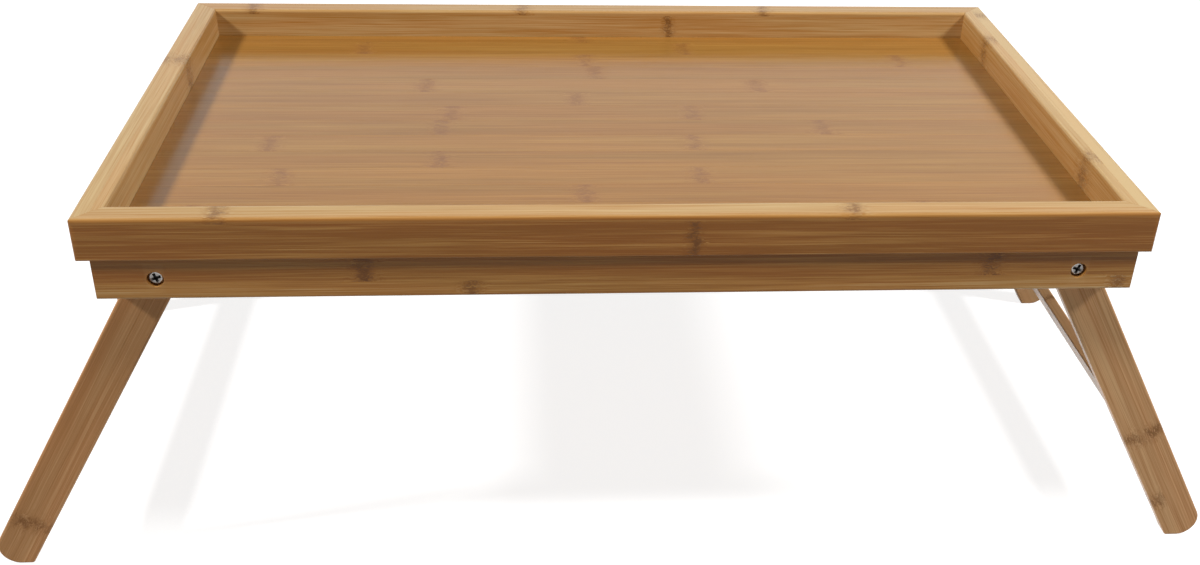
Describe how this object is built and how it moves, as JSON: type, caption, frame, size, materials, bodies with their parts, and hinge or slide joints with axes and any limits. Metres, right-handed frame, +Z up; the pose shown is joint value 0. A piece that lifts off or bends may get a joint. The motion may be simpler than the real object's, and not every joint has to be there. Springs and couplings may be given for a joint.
{
  "type": "folding bed tray table",
  "caption": "Bamboo bed tray: a raised-rim tray on two folding leg frames that splay out and lie flat underneath.",
  "frame": {"origin": "on the floor under the middle of the tray, with the legs open", "axes": "+X along the tray's length, +Y from front to back, +Z up"},
  "size_m": [0.6478, 0.3, 0.21],
  "materials": {
    "bamboo_rail": "satin varnish over carbonised bamboo",
    "bamboo_panel": "semi-gloss varnish over strip-laminated bamboo",
    "bamboo_leg": "satin varnish over carbonised bamboo",
    "birch_spline": "raw wood",
    "plated_steel": "bright zinc plating",
    "steel_nut": "dull zinc plating",
    "yellow_zinc": "yellow zinc plating",
    "nylon": "translucent white nylon"
  },
  "bodies": {
    "tray": {"front_frame_rail": "bamboo_rail", "back_frame_rail": "bamboo_rail", "left_frame_rail": "bamboo_rail", "right_frame_rail": "bamboo_rail", "tray_panel": "bamboo_panel", "panel_pins": "steel_nut", "corner_spline_front_left": "birch_spline", "corner_spline_front_right": "birch_spline", "corner_spline_back_left": "birch_spline", "corner_spline_back_right": "birch_spline", "front_lower_rail": "bamboo_rail", "back_lower_rail": "bamboo_rail", "lower_rail_screws": "yellow_zinc", "pivot_screw_front_left": "plated_steel", "pivot_screw_back_left": "plated_steel", "pivot_screw_front_right": "plated_steel", "pivot_screw_back_right": "plated_steel", "pivot_washers": "plated_steel", "lock_nut_front_left": "steel_nut", "lock_nut_back_left": "steel_nut", "lock_nut_front_right": "steel_nut", "lock_nut_back_right": "steel_nut", "nut_nylon_rings": "nylon"},
    "left_legs": {"leg_front_left": "bamboo_leg", "leg_back_left": "bamboo_leg", "crossbar_left": "bamboo_leg"},
    "right_legs": {"leg_front_right": "bamboo_leg", "leg_back_right": "bamboo_leg", "crossbar_right": "bamboo_leg"}
  },
  "joints": [
    {"name": "left_leg_fold", "type": "hinge", "parent": "tray", "child": "left_legs", "pos_m": [-0.2165, 0, 0.17835], "axis": [0, -1, 0], "range_deg": [0, 120]},
    {"name": "right_leg_fold", "type": "hinge", "parent": "tray", "child": "right_legs", "pos_m": [0.2165, 0, 0.17835], "axis": [0, 1, 0], "range_deg": [0, 120]}
  ]
}
